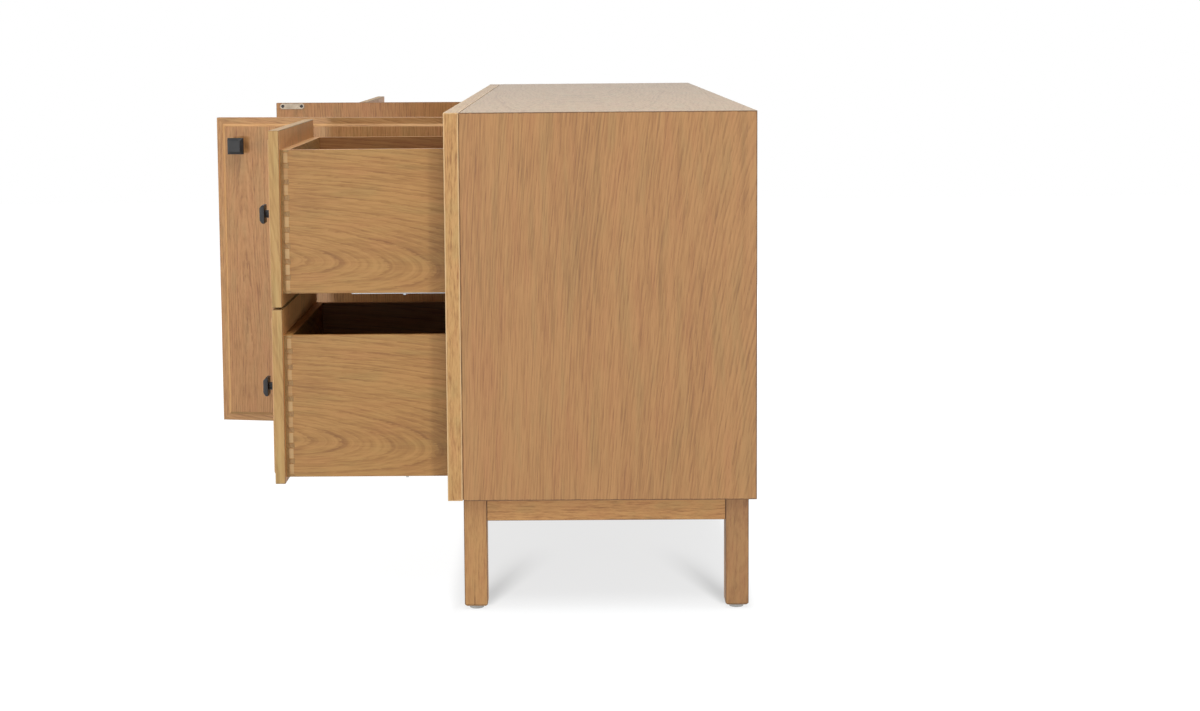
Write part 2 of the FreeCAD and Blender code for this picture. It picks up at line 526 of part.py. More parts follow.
# Butt hinges. The pin and the two outer knuckles belong to the leaf on the partition, the middle
# knuckle to the leaf on the door. Each leaf is notched where the other's knuckles turn.
KNUCKLE = f"(hinge_length / {KNUCKLES})"
HINGE_FEET = ("hinge_end_distance", f"{DOOR_HEIGHT} - hinge_end_distance - hinge_length")
DOOR_EDGE = f"({FRONT_WIDTH} / 2)"
FRAME_EDGE = f"({DOOR_EDGE} + front_gap)"
LEAF_Y = ("-axis_reach", "leaf_depth - axis_reach")
NOTCH_Y = ("-axis_reach - overrun", "knuckle_radius + knuckle_notch_play - axis_reach")
NOTCH_X = (f"{DOOR_EDGE} - overrun", f"{FRAME_EDGE} + overrun")
frame_leaves = []
for side_name, side in SIDES.items():
    axis_x = f"({side} * ({DOOR_EDGE} + front_gap / 2))"
    door_leaves = []
    for number, foot in enumerate(HINGE_FEET, start=1):
        hinge = f"{side_name}_hinge_{number}"
        plates = {
            "door": block(f"{hinge}_door_plate", mirrored(side, DOOR_EDGE, f"{DOOR_EDGE} + leaf_gauge"),
                          LEAF_Y, (foot, f"{foot} + hinge_length")),
            "frame": block(f"{hinge}_frame_plate", mirrored(side, f"{FRAME_EDGE} - leaf_gauge", FRAME_EDGE),
                           LEAF_Y, (foot, f"{foot} + hinge_length")),
        }
        rolls = {"door": [], "frame": []}
        notches = {"door": [], "frame": []}
        for place in range(KNUCKLES):
            owner, other = ("frame", "door") if place % 2 == 0 else ("door", "frame")
            low = f"{foot} + {place} * {KNUCKLE}"
            rolls[owner].append(post(f"{hinge}_knuckle_{place}", "knuckle_radius",
                                     f"{KNUCKLE} - knuckle_play", axis_x, "-axis_reach",
                                     f"{low} + knuckle_play / 2"))
            notch_z = (f"{low} - knuckle_play / 2", f"{low} + {KNUCKLE} + knuckle_play / 2")
            notches[other].append(block(f"{hinge}_notch_{place}", mirrored(side, *NOTCH_X), NOTCH_Y, notch_z))
        pin = post(f"{hinge}_pin", "hinge_pin_radius", "hinge_length - knuckle_play", axis_x, "-axis_reach",
                   f"{foot} + knuckle_play / 2")
        bore = post(f"{hinge}_bore", "hinge_bore_radius", "hinge_length + 2 * overrun", axis_x, "-axis_reach",
                    f"{foot} - overrun")
        cleared = {owner: cut(f"{hinge}_{owner}_cleared", plates[owner], notches[owner])
                   for owner in plates}
        frame_leaf = joined(f"{hinge}_frame_leaf", [cleared["frame"], pin] + rolls["frame"])
        door_roll = joined(f"{hinge}_door_rolled", [cleared["door"]] + rolls["door"])
        door_leaves.append(cut(f"{hinge}_door_leaf", door_roll, [bore]))
        frame_leaves.append(bind(group(f"{hinge}_fixed", [frame_leaf]),
                                 Placement__Base__x=f"{side} * {DOOR_CENTRE}",
                                 Placement__Base__y=FRONT_Y, Placement__Base__z=FRONT_FOOT))

    # The door itself with its knob and strike plate, drawn closed and then swung open. The plate's
    # rounded ends are centred on the heads of its two screws, which lie flush in it.
    free_edge = f"({-side} * {DOOR_EDGE})"
    door_knob = bind(group(f"{side_name}_door_knob_set", [knob]),
                     Placement__Base__x=f"{free_edge} + {side} * door_knob_inset",
                     Placement__Base__z=f"{DOOR_HEIGHT} - door_knob_drop")
    plate_x = (f"({DOOR_EDGE} - strike_edge - strike_length)", f"({DOOR_EDGE} - strike_edge)")
    plate_z = (f"{DOOR_HEIGHT} - strike_drop - strike_width", f"{DOOR_HEIGHT} - strike_drop")
    screw_x = (f"({plate_x[0]} + strike_width / 2)", f"({plate_x[1]} - strike_width / 2)")
    screw_z = f"({plate_z[0]} + strike_width / 2)"
    plate_pieces = [block(f"{side_name}_strike_middle", mirrored(-side, *screw_x),
                          (FRONT_DEPTH, PLATE_FACE), plate_z)]
    sinks, strike_screws = [], []
    for number, place in enumerate(screw_x, start=1):
        screw = f"{side_name}_strike_screw_{number}"
        x = f"({-side} * {place})"
        plate_pieces.append(stud(f"{screw}_plate_end", "strike_width / 2", "strike_gauge", x, PLATE_FACE,
                                 screw_z))
        sinks.append(stud(f"{screw}_head", "screw_head_radius", "strike_gauge", x, PLATE_FACE, screw_z))
        slot = block(f"{screw}_slot", (f"{x} - screw_head_radius", f"{x} + screw_head_radius"),
                     (f"{PLATE_FACE} - screw_slot_depth", f"{PLATE_FACE} + overrun"),
                     (f"{screw_z} - screw_slot_width / 2", f"{screw_z} + screw_slot_width / 2"))
        strike_screws.append(cut(screw, sinks[-1], [slot]))
    strike = cut(f"{side_name}_strike_plate", joined(f"{side_name}_strike_blank", plate_pieces), sinks)
    angle = f"{side} * {side_name}_door_angle"
    door_pieces = {"panel": [door_board], "knob": [door_knob], "hinge_leaves": door_leaves,
                   "strike_plate": [strike], "strike_screws": strike_screws}
    for piece_name, pieces in door_pieces.items():
        swung(f"{side_name}_door_{piece_name}", pieces, f"{side} * {DOOR_CENTRE}", FRONT_Y, FRONT_FOOT,
              axis_x, "-axis_reach", angle)
placed("hinge_frame_leaves", frame_leaves)

doc.recompute()

failed = [item.Label for item in doc.Objects if "Invalid" in item.State or "Error" in item.State]
if failed:
    raise RuntimeError(f"these objects did not recompute: {failed}")
for node in NODES:
    if node.Shape.isNull() or not node.Shape.isValid():
        raise RuntimeError(f"{node.Label} has no valid shape")

os.makedirs("parts", exist_ok=True)
for node in NODES:
    node.Shape.exportStep(f"parts/{node.Label}.step")
print(len(NODES), "nodes written")
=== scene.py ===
import bmesh
import bpy
import json
import math
import numpy as np
from mathutils import Euler, Matrix, Vector

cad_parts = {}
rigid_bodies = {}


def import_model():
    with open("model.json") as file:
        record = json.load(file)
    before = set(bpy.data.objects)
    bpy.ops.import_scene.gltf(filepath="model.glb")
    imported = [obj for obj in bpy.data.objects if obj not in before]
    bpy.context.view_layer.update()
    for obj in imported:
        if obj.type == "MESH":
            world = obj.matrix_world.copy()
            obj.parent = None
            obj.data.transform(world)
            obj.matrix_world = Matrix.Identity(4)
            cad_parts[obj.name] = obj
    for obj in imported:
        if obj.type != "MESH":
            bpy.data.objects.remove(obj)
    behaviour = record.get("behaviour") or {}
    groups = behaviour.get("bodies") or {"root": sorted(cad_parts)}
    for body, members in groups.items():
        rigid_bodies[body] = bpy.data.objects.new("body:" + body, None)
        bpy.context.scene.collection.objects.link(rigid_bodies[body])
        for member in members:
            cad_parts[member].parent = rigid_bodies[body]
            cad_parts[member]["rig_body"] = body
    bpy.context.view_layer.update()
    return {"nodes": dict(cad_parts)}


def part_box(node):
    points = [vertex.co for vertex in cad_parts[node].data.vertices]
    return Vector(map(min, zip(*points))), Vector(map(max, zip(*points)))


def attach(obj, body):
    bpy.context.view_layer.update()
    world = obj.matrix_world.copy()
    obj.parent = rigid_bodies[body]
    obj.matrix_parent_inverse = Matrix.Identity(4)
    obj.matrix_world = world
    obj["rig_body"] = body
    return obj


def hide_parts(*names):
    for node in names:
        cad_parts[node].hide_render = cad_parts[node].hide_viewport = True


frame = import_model()
cad_nodes = frame["nodes"]
SIDES = {"right": 1, "left": -1}


# Case boards: the two ends, the top and the bottom. Each is a board veneered in light oak, mitred
# to its neighbours and sealed with a satin lacquer, with a fine groove beside the solid lipping.
CASE_TONES = ((0.470, 0.240, 0.088), (0.388, 0.187, 0.065), (0.247, 0.113, 0.040))
TOP_TONES = ((0.475, 0.304, 0.141), (0.414, 0.252, 0.110), (0.273, 0.149, 0.058))
COOL_TINT = (0.86, 0.95, 0.94)
WARM_TINT = (0.99, 0.90, 0.94)
TINT_SHARE = 0.6
LACQUER_WEIGHT, LACQUER_ROUGHNESS = 0.06, 0.30
GRAIN_RELIEF, GRAIN_DEPTH = 0.22, 0.0004


def linked(tree, socket, value):
    """Joins a socket to another node's output, or sets it to a plain value."""
    if isinstance(value, bpy.types.NodeSocket):
        tree.links.new(value, socket)
    elif value is not None:
        socket.default_value = value


def calc(tree, operation, first, second=None, third=None):
    """One arithmetic step: the result of an operation on up to three values."""
    step = tree.nodes.new("ShaderNodeMath")
    step.operation = operation
    for socket, value in zip(step.inputs, (first, second, third)):
        linked(tree, socket, value)
    return step.outputs[0]


def parted(tree, place):
    """The three numbers that make up a place."""
    step = tree.nodes.new("ShaderNodeSeparateXYZ")
    linked(tree, step.inputs[0], place)
    return list(step.outputs)


def joined(tree, *values):
    """The place made of up to three numbers; those that aren't given are zero."""
    step = tree.nodes.new("ShaderNodeCombineXYZ")
    for socket, value in zip(step.inputs, values):
        linked(tree, socket, value)
    return step.outputs[0]


def cloud(tree, place, sizes=None, detail=2.0, roughness=0.5):
    """Smooth noise between 0 and 1: unit noise at the place divided by the sizes of its features."""
    if sizes:
        step = tree.nodes.new("ShaderNodeVectorMath")
        step.operation = "MULTIPLY"
        linked(tree, step.inputs[0], place)
        step.inputs[1].default_value = [1 / size for size in sizes]
        place = step.outputs[0]
    noise = tree.nodes.new("ShaderNodeTexNoise")
    linked(tree, noise.inputs["Vector"], place)
    noise.inputs["Scale"].default_value = 1.0
    noise.inputs["Detail"].default_value = detail
    noise.inputs["Roughness"].default_value = roughness
    return noise.outputs[0]


def wander(tree, place, sizes, detail=2.0, roughness=0.5):
    """Noise as in cloud less a half, so that it strays either way from zero."""
    return calc(tree, "SUBTRACT", cloud(tree, place, sizes, detail, roughness), 0.5)


def ramp(tree, value, start, end, low=0.0, high=1.0):
    """Low before start and high after end, with a smooth step between them."""
    step = tree.nodes.new("ShaderNodeMapRange")
    step.interpolation_type = "SMOOTHSTEP"
    for name, number in (("Value", value), ("From Min", start), ("From Max", end),
                         ("To Min", low), ("To Max", high)):
        linked(tree, step.inputs[name], number)
    return step.outputs[0]


def past(tree, value, limit, blur=0.0001):
    """1 where a value is past a limit and 0 before it, stepping smoothly over the blur each way."""
    return ramp(tree, value, limit - blur, limit + blur)


def before(tree, value, limit, blur=0.0001):
    """1 where a value is before a limit and 0 past it, stepping smoothly over the blur each way."""
    return ramp(tree, value, limit - blur, limit + blur, 1.0, 0.0)


def blended(tree, share, first, second, way="MIX"):
    """Two colours mixed by a share, or the first one tinted by the second by that share."""
    mix = tree.nodes.new("ShaderNodeMix")
    mix.data_type, mix.blend_type, mix.clamp_factor = "RGBA", way, True
    linked(tree, mix.inputs[0], share)
    for socket, colour in ((mix.inputs[6], first), (mix.inputs[7], second)):
        linked(tree, socket, (*colour, 1.0) if isinstance(colour, tuple) and len(colour) == 3 else colour)
    return mix.outputs[2]


def new_effect(name, inputs, outputs):
    """An empty node group with named sockets, and its two ends."""
    tree = bpy.data.node_groups.new(name, "ShaderNodeTree")
    for side, sockets in (("INPUT", inputs), ("OUTPUT", outputs)):
        for socket_name, kind, *value in sockets:
            socket = tree.interface.new_socket(socket_name, in_out=side, socket_type=f"NodeSocket{kind}")
            if value:
                socket.default_value = value[0]
    return tree, tree.nodes.new("NodeGroupInput").outputs, tree.nodes.new("NodeGroupOutput").inputs


def applied(tree, effect, **values):
    """An effect placed in a material, with values for its sockets under their names."""
    node = tree.nodes.new("ShaderNodeGroup")
    node.node_tree = effect
    for name, value in values.items():
        linked(tree, node.inputs[name.replace("_", " ").title()], value)
    return node.outputs


# Sizes of the figure's features in metres, along the grain, across it and deep.
SLOW_SWAY, QUICK_SWAY = (0.55, 0.16, 0.16), (0.16, 0.03, 0.03)
RAGGED_EDGE = (0.030, 0.0017, 0.0017)
FIBRE, STREAK = (0.11, 0.0032, 0.0032), (0.30, 0.012, 0.012)
VESSEL, PORE = (0.09, 0.0014, 0.0014), (0.012, 0.0006, 0.0006)
BROAD_TONE, PATCH = (0.35, 0.09, 0.09), (0.13, 0.016, 0.016)
# The good years' size is out from the heart, the year line's along the grain and out from the
# heart, and the ring change is counted in rings.
GOOD_YEARS, YEAR_LINE, RING_CHANGE = (0.022, 1, 1), (0.055, 0.0019, 1), (1.7, 1, 1)
QUICK_SWAY_SHARE, RINGS_OF_GOOD_YEARS = 0.22, 2.4
# A ring's dark band starts within the first share of it and fades by the second as a power. Noise
# from the first to the second number gives each ring a depth from the third to the fourth.
BAND_START, BAND_FADE = 0.10, 1.9
RING_DEPTHS = (0.25, 0.75, 0.35, 1.0)
# Where the noise makes a mark, from none to full, and the marks' share outside the dark bands.
VESSELS_SHOW, VESSELS_ANYWHERE = (0.54, 0.70), 0.45
PORES_SHOW, PORES_ANYWHERE = (0.55, 0.70), 0.25
COOL_SHOWS, WARM_SHOWS = (0.50, 0.72), (0.50, 0.28)
# How much each mark darkens the wood, the tone of plain wood, and the tones of its three colours.
RING_DARK, FIBRE_DARK, STREAK_DARK, VESSEL_DARK, YEAR_LINE_DARK, PORE_DARK = 0.55, 1.1, 0.85, 0.12, 1.3, 0.38
PLAIN_TONE = 0.27
PALE_TO_MID, MID_TO_DARK = (0.0, 0.62), (0.42, 1.15)
PORE_MATT, FIBRE_MATT = 0.16, 0.10
FIBRE_HEIGHT, VESSEL_SINK = 0.6, 0.5


def make_oak_figure():
    """Oak as it is sawn from the tree, in a board's own place: X along the grain, Y across it, Z deep.

    The growth rings are shells round a heart line that slants through the board, so a ring number
    is the distance from that line over the ring width, and good years and ragged edges shift it.
    Each ring starts with a dark porous band that fades as a power of the rest of the ring. The tone
    is the sum of that band, of fibres, streaks, vessels and lines that follow the rings, and of
    broad noise. It picks the colour from pale to dark, which cool and warm patches then tint.
    """
    tree, put, out = new_effect("oak_figure", (
        ("Grain Place", "Vector"), ("Pale", "Color"), ("Mid", "Color"), ("Dark", "Color"),
        ("Ring Width", "Float", 0.005), ("Heart Side", "Float"), ("Heart Depth", "Float", 0.05),
        ("Heart Slant", "Float", 0.15), ("Heart Drift", "Float"), ("Sway", "Float", 0.01),
        ("Ring Mark", "Float", 1.0), ("Ring Rag", "Float", 0.9), ("Fibre Mark", "Float", 1.0),
        ("Fine Mark", "Float", 1.0), ("Broad Mark", "Float", 0.4), ("Fibre Length", "Float", 1.0),
        ("Matt", "Float", 0.42)),
        (("Color", "Color"), ("Roughness", "Float"), ("Height", "Float")))
    grain_place = put["Grain Place"]
    along, across, deep = parted(tree, grain_place)

    # Distance from the heart line.
    sway = calc(tree, "MULTIPLY_ADD", wander(tree, grain_place, QUICK_SWAY), QUICK_SWAY_SHARE,
                wander(tree, grain_place, SLOW_SWAY, 1.0))
    swayed = calc(tree, "MULTIPLY_ADD", sway, calc(tree, "MULTIPLY", put["Sway"], 2.0), across)
    heart_side = calc(tree, "MULTIPLY_ADD", along, put["Heart Drift"], put["Heart Side"])
    heart_depth = calc(tree, "MULTIPLY_ADD", along, put["Heart Slant"], put["Heart Depth"])
    side = calc(tree, "SUBTRACT", swayed, heart_side)
    depth = calc(tree, "ADD", heart_depth, deep)
    radius = calc(tree, "SQRT", calc(tree, "MULTIPLY_ADD", side, side, calc(tree, "MULTIPLY", depth, depth)))

    # Growth rings.
    fibre_along = calc(tree, "DIVIDE", along, put["Fibre Length"])
    fibre_place = joined(tree, fibre_along, swayed, deep)
    good_years = wander(tree, joined(tree, radius), GOOD_YEARS)
    number = calc(tree, "ADD", calc(tree, "DIVIDE", radius, put["Ring Width"]),
                  calc(tree, "MULTIPLY", good_years, RINGS_OF_GOOD_YEARS))
    ragged = wander(tree, fibre_place, RAGGED_EDGE, 2.0, 0.6)
    number = calc(tree, "MULTIPLY_ADD", ragged, put["Ring Rag"], number)
    part = calc(tree, "FRACT", number)
    fading = calc(tree, "POWER", calc(tree, "SUBTRACT", 1.0, part), BAND_FADE)
    band = calc(tree, "MINIMUM", fading, ramp(tree, part, 0.0, BAND_START))
    ring_depth = cloud(tree, joined(tree, calc(tree, "FLOOR", number)), RING_CHANGE, 0.0)
    band = calc(tree, "MULTIPLY", band, ramp(tree, ring_depth, *RING_DEPTHS))

    # Fibres, pores and patches.
    fibre = wander(tree, fibre_place, FIBRE, 3.0, 0.75)
    year_line = wander(tree, joined(tree, fibre_along, radius), YEAR_LINE, 2.0, 0.6)
    streak = wander(tree, fibre_place, STREAK, 2.0, 0.65)
    vessels = calc(tree, "MULTIPLY", ramp(tree, cloud(tree, fibre_place, VESSEL, 1.0), *VESSELS_SHOW),
                   calc(tree, "MULTIPLY_ADD", band, 1 - VESSELS_ANYWHERE, VESSELS_ANYWHERE))
    pores = calc(tree, "MULTIPLY", ramp(tree, cloud(tree, fibre_place, PORE, 1.0), *PORES_SHOW),
                 calc(tree, "MULTIPLY_ADD", band, 1 - PORES_ANYWHERE, PORES_ANYWHERE))
    broad = wander(tree, grain_place, BROAD_TONE)
    patch = cloud(tree, fibre_place, PATCH)

    # Tone and colour.
    ring_mark = calc(tree, "MULTIPLY", band, calc(tree, "MULTIPLY", put["Ring Mark"], RING_DARK))
    vessel_mark = calc(tree, "MULTIPLY", vessels, VESSEL_DARK)
    fibre_mark = calc(tree, "MULTIPLY_ADD", fibre, FIBRE_DARK, vessel_mark)
    fibre_mark = calc(tree, "MULTIPLY_ADD", streak, STREAK_DARK, fibre_mark)
    fibre_mark = calc(tree, "MULTIPLY", fibre_mark, put["Fibre Mark"])
    fine_mark = calc(tree, "MULTIPLY", put["Fine Mark"], YEAR_LINE_DARK)
    fibre_mark = calc(tree, "MULTIPLY_ADD", year_line, fine_mark, fibre_mark)
    broad_mark = calc(tree, "MULTIPLY_ADD", broad, put["Broad Mark"], PLAIN_TONE)
    tone = calc(tree, "ADD", calc(tree, "ADD", ring_mark, fibre_mark), broad_mark)
    wood = blended(tree, ramp(tree, tone, *PALE_TO_MID), put["Pale"], put["Mid"])
    wood = blended(tree, ramp(tree, tone, *MID_TO_DARK), wood, put["Dark"])
    wood = blended(tree, calc(tree, "MULTIPLY", pores, PORE_DARK), wood, put["Dark"])
    for shows, tint in ((COOL_SHOWS, COOL_TINT), (WARM_SHOWS, WARM_TINT)):
        tinted = calc(tree, "MULTIPLY", ramp(tree, patch, *shows), TINT_SHARE)
        wood = blended(tree, tinted, wood, tint, "MULTIPLY")
    linked(tree, out["Color"], wood)
    matt = calc(tree, "MULTIPLY_ADD", pores, PORE_MATT, calc(tree, "MULTIPLY", fibre, FIBRE_MATT))
    linked(tree, out["Roughness"], calc(tree, "ADD", put["Matt"], matt))
    sunk = calc(tree, "MULTIPLY_ADD", vessels, VESSEL_SINK, pores)
    linked(tree, out["Height"], calc(tree, "SUBTRACT", calc(tree, "MULTIPLY", fibre, FIBRE_HEIGHT), sunk))
    return tree


oak_figure = make_oak_figure()
ARRIS_BREAK = (0.03, 0.006, 0.006)
# An arris line is wide by 0.4 to 1.6 of its given width, and it fades from 0.4 of that outward.
ARRIS_CORE, ARRIS_LEAST, ARRIS_SPREAD = 0.4, 0.4, 1.2


def make_board_arris():
    """The line along a board's arrises, where the finish has gathered and hands have darkened it.

    Beside a groove the line is also painted shade, and given a pale tone it is a painted highlight.
    Of a point's three distances to the board's faces, the second smallest is its distance to the
    nearest arris. The line has the given width there, and noise along the grain breaks it up.
    """
    tree, put, out = new_effect("board_arris", (
        ("Grain Place", "Vector"), ("Half Size", "Vector"), ("Width", "Float", 0.0011)), (("Line", "Float"),))
    distances = tree.nodes.new("ShaderNodeVectorMath")
    distances.operation = "ABSOLUTE"
    linked(tree, distances.inputs[0], put["Grain Place"])
    inward = tree.nodes.new("ShaderNodeVectorMath")
    inward.operation = "SUBTRACT"
    linked(tree, inward.inputs[0], put["Half Size"])
    linked(tree, inward.inputs[1], distances.outputs[0])
    first, second, third = parted(tree, inward.outputs[0])
    nearest = calc(tree, "MAXIMUM", calc(tree, "MINIMUM", first, second),
                   calc(tree, "MINIMUM", calc(tree, "MAXIMUM", first, second), third))
    broken = cloud(tree, put["Grain Place"], ARRIS_BREAK)
    width = calc(tree, "MULTIPLY", put["Width"],
                 calc(tree, "MULTIPLY_ADD", broken, ARRIS_SPREAD, ARRIS_LEAST))
    away = ramp(tree, nearest, calc(tree, "MULTIPLY", width, ARRIS_CORE), width)
    linked(tree, out["Line"], calc(tree, "SUBTRACT", 1.0, away))
    return tree


board_arris = make_board_arris()


def extent(node, turn=0.0):
    """A piece's middle and its half sizes, measured square to the piece where it hangs turned."""
    mesh = cad_nodes[node].data
    points = np.empty(len(mesh.vertices) * 3)
    mesh.vertices.foreach_get("co", points)
    swing = np.array(Matrix.Rotation(math.radians(turn), 3, "Z"))
    points = points.reshape(-1, 3) @ swing
    low, high = points.min(axis=0), points.max(axis=0)
    return swing @ ((low + high) / 2), (high - low) / 2


def place_in_board(tree, along, across, middle, turn=0.0, half_apart=None):
    """The place on a piece counted from its middle, as (along the grain, across it, deep).

    Turn is the angle at which the piece hangs, in degrees. Where two like boards are one piece, the
    depth is counted from each board's own middle, which is half_apart from the piece's middle.
    """
    coordinates = tree.nodes.new("ShaderNodeTexCoord")
    mapping = tree.nodes.new("ShaderNodeMapping")
    mapping.vector_type = "TEXTURE"
    mapping.inputs["Location"].default_value = middle
    mapping.inputs["Rotation"].default_value = (0, 0, math.radians(turn))
    linked(tree, mapping.inputs["Vector"], coordinates.outputs["Object"])
    numbers = dict(zip("XYZ", parted(tree, mapping.outputs[0])))
    depth = next(numbers[axis] for axis in "XYZ" if axis not in (along, across))
    if half_apart:
        depth = calc(tree, "SUBTRACT", calc(tree, "ABSOLUTE", depth), half_apart)
    return joined(tree, numbers[along], numbers[across], depth)


# The zone of the edge above or of end grain, and the line between a board's inner and outer half.
EDGE_ZONE, EDGE_ZONE_BLUR = 0.00045, 0.00015
MIDDLE_BLUR = 0.001


def make_board_edges():
    """Masks of a board's lipping, its edge above, its end grain and its inner face.

    The lipping is where the nearest edge is nearer than its width. The edge above and the end grain
    are where the distance from the top or from the end of the grain is within the edge zone. The
    inner face is where the depth, counted towards the inner side, is past the board's middle.
    """
    tree, put, out = new_effect("board_edges", (
        ("Grain Place", "Vector"), ("Half Size", "Vector"), ("Lipping Width", "Float", 0.0015),
        ("Inner Side", "Float", 1.0)),
        (("Lipping", "Float"), ("Top Edge", "Float"), ("End Grain", "Float"), ("Inner Face", "Float")))
    along, across, deep = parted(tree, put["Grain Place"])
    half_length, half_width, _ = parted(tree, put["Half Size"])
    from_end = calc(tree, "SUBTRACT", half_length, calc(tree, "ABSOLUTE", along))
    from_side = calc(tree, "SUBTRACT", half_width, calc(tree, "ABSOLUTE", across))
    inward = calc(tree, "MINIMUM", from_end, from_side)
    below_top = calc(tree, "SUBTRACT", half_width, across)
    linked(tree, out["Lipping"], before(tree, calc(tree, "SUBTRACT", inward, put["Lipping Width"]), 0.0))
    linked(tree, out["Top Edge"], before(tree, below_top, EDGE_ZONE, EDGE_ZONE_BLUR))
    linked(tree, out["End Grain"], before(tree, from_end, EDGE_ZONE, EDGE_ZONE_BLUR))
    towards_inside = calc(tree, "MULTIPLY", deep, put["Inner Side"])
    linked(tree, out["Inner Face"], past(tree, towards_inside, 0.0, MIDDLE_BLUR))
    return tree


board_edges = make_board_edges()
# A lipping is cut this far beside the board's heart. Arris lines are this share of the dark tone.
LIPPING_SHIFT = 0.05
ARRIS_TONE = 0.45


def oak(node, tones, along, across, heart, slant=0.15, drift=0.0, ring=0.005, sway=0.010, matt=0.50,
        ring_mark=1.0, ring_rag=0.9, fibre_mark=1.0, fine_mark=1.0, broad_mark=0.4, length=1.0, turn=0.0,
        thickness=None, edge_mark=0.65, edge_width=0.0011, edge_tone=None, inside=None, lipping=None,
        tails=None, border=None, top_edge_highlight=None, end_grain=None):
    """A piece's lacquered oak, figured from its own middle.

    Tones are its pale, middle and dark colour. Heart is the heart line's place across the board and
    its depth behind the middle, slant and drift are how far the line runs deep and aside per metre
    of grain. Ring is the ring width, sway how far the grain wanders aside, length how long its
    fibres are drawn, matt the lacquer's roughness, and each mark the strength of a part of the
    figure. Turn is the angle at which the piece hangs. Thickness is given where two like boards are
    one piece. Edge mark, width and tone are the strength, width and colour of the lines along the
    arrises; without a tone they are a deeper dark of the wood.

    Inside is (side, tint) for the face on that side of the middle; on the drawer fronts it is painted
    light and on the box sides painted shade. Lipping is (width, tones) of thin strips glued on the
    edges. Tails is (length, pitch, half a pin, colour) of paler dovetails at the near end of the grain.
    Border is (width, bevel, tint, bevel highlight) of strips mitred round the face, each with the grain
    along itself, and the bevel highlight is painted. Top edge highlight is a painted highlight on the
    edge above, and end grain a tint of the ends of the grain.
    """
    middle, half = extent(node, turn)
    axes = ["XYZ".index(along), "XYZ".index(across)]
    half = [half[axes[0]], half[axes[1]], half[3 - sum(axes)]]
    half_apart = half[2] - thickness / 2 if thickness else None
    if thickness:
        half[2] = thickness / 2
    material = bpy.data.materials.new(f"{node}_oak")
    material.use_nodes = True
    tree = material.node_tree
    shader = tree.nodes["Principled BSDF"]
    place = place_in_board(tree, along, across, middle, turn, half_apart)
    grain_place = place
    if border:
        width, bevel, border_tint, bevel_highlight = border
        strips = applied(tree, mitred_border, grain_place=place, half_size=half, width=width, bevel=bevel)
        grain_place = strips["Grain Place"]

    def figured(board_tones, side):
        """The oak figure of a board in three tones, with its heart line at the given side."""
        pale, mid, dark = ((*tone, 1.0) for tone in board_tones)
        return applied(tree, oak_figure, grain_place=grain_place, pale=pale, mid=mid, dark=dark,
                       ring_width=ring, heart_side=side, heart_depth=heart[1], heart_slant=slant,
                       heart_drift=drift, sway=sway, ring_mark=ring_mark, ring_rag=ring_rag,
                       fibre_mark=fibre_mark, fine_mark=fine_mark, broad_mark=broad_mark,
                       fibre_length=length, matt=matt)

    board = figured(tones, heart[0])
    colour = board["Color"]
    tints = []
    if border:
        tints += [(strips["Border"], border_tint), (strips["Bevel"], bevel_highlight)]
    if inside or lipping or top_edge_highlight or end_grain:
        edges = applied(tree, board_edges, grain_place=place, half_size=half,
                        lipping_width=lipping[0] if lipping else 0.0, inner_side=inside[0] if inside else 1)
    if inside:
        tints.append((edges["Inner Face"], inside[1]))
    for share, tint in tints:
        colour = blended(tree, share, colour, tint, "MULTIPLY")
    if lipping:
        strip_colour = figured(lipping[1], heart[0] + LIPPING_SHIFT)["Color"]
        colour = blended(tree, edges["Lipping"], colour, strip_colour)
    for name, tint in (("Top Edge", top_edge_highlight), ("End Grain", end_grain)):
        if tint:
            colour = blended(tree, edges[name], colour, tint, "MULTIPLY")
    if tails:
        tail_length, pitch, half_pin, tail_colour = tails
        joint = applied(tree, half_blind_dovetails, grain_place=place, half_size=half, length=tail_length,
                        pitch=pitch, half_pin=half_pin)
        colour = blended(tree, joint["Tails"], colour, tail_colour)
    line = applied(tree, board_arris, grain_place=place, half_size=half, width=edge_width)["Line"]
    colour = blended(tree, calc(tree, "MULTIPLY", line, edge_mark), colour,
                     edge_tone or tuple(value * ARRIS_TONE for value in tones[2]))
    bump = tree.nodes.new("ShaderNodeBump")
    bump.inputs["Strength"].default_value = GRAIN_RELIEF
    bump.inputs["Distance"].default_value = GRAIN_DEPTH
    linked(tree, bump.inputs["Height"], board["Height"])
    linked(tree, shader.inputs["Base Color"], colour)
    linked(tree, shader.inputs["Roughness"], board["Roughness"])
    linked(tree, shader.inputs["Normal"], bump.outputs[0])
    shader.inputs["Coat Weight"].default_value = LACQUER_WEIGHT
    shader.inputs["Coat Roughness"].default_value = LACQUER_ROUGHNESS
    return material


# Points nearer than the weld are one, faces that turn by less than the flat angle are one face, and
# an edge that turns by less than the curve's most, in radians, belongs to a rounded face.
WELD, FLAT_ANGLE = 0.000005, math.radians(1)
CURVE_LEAST, CURVE_MOST = 0.01, 0.5
SHARP_ANGLE = math.radians(30)
ARRIS_STEPS = 2


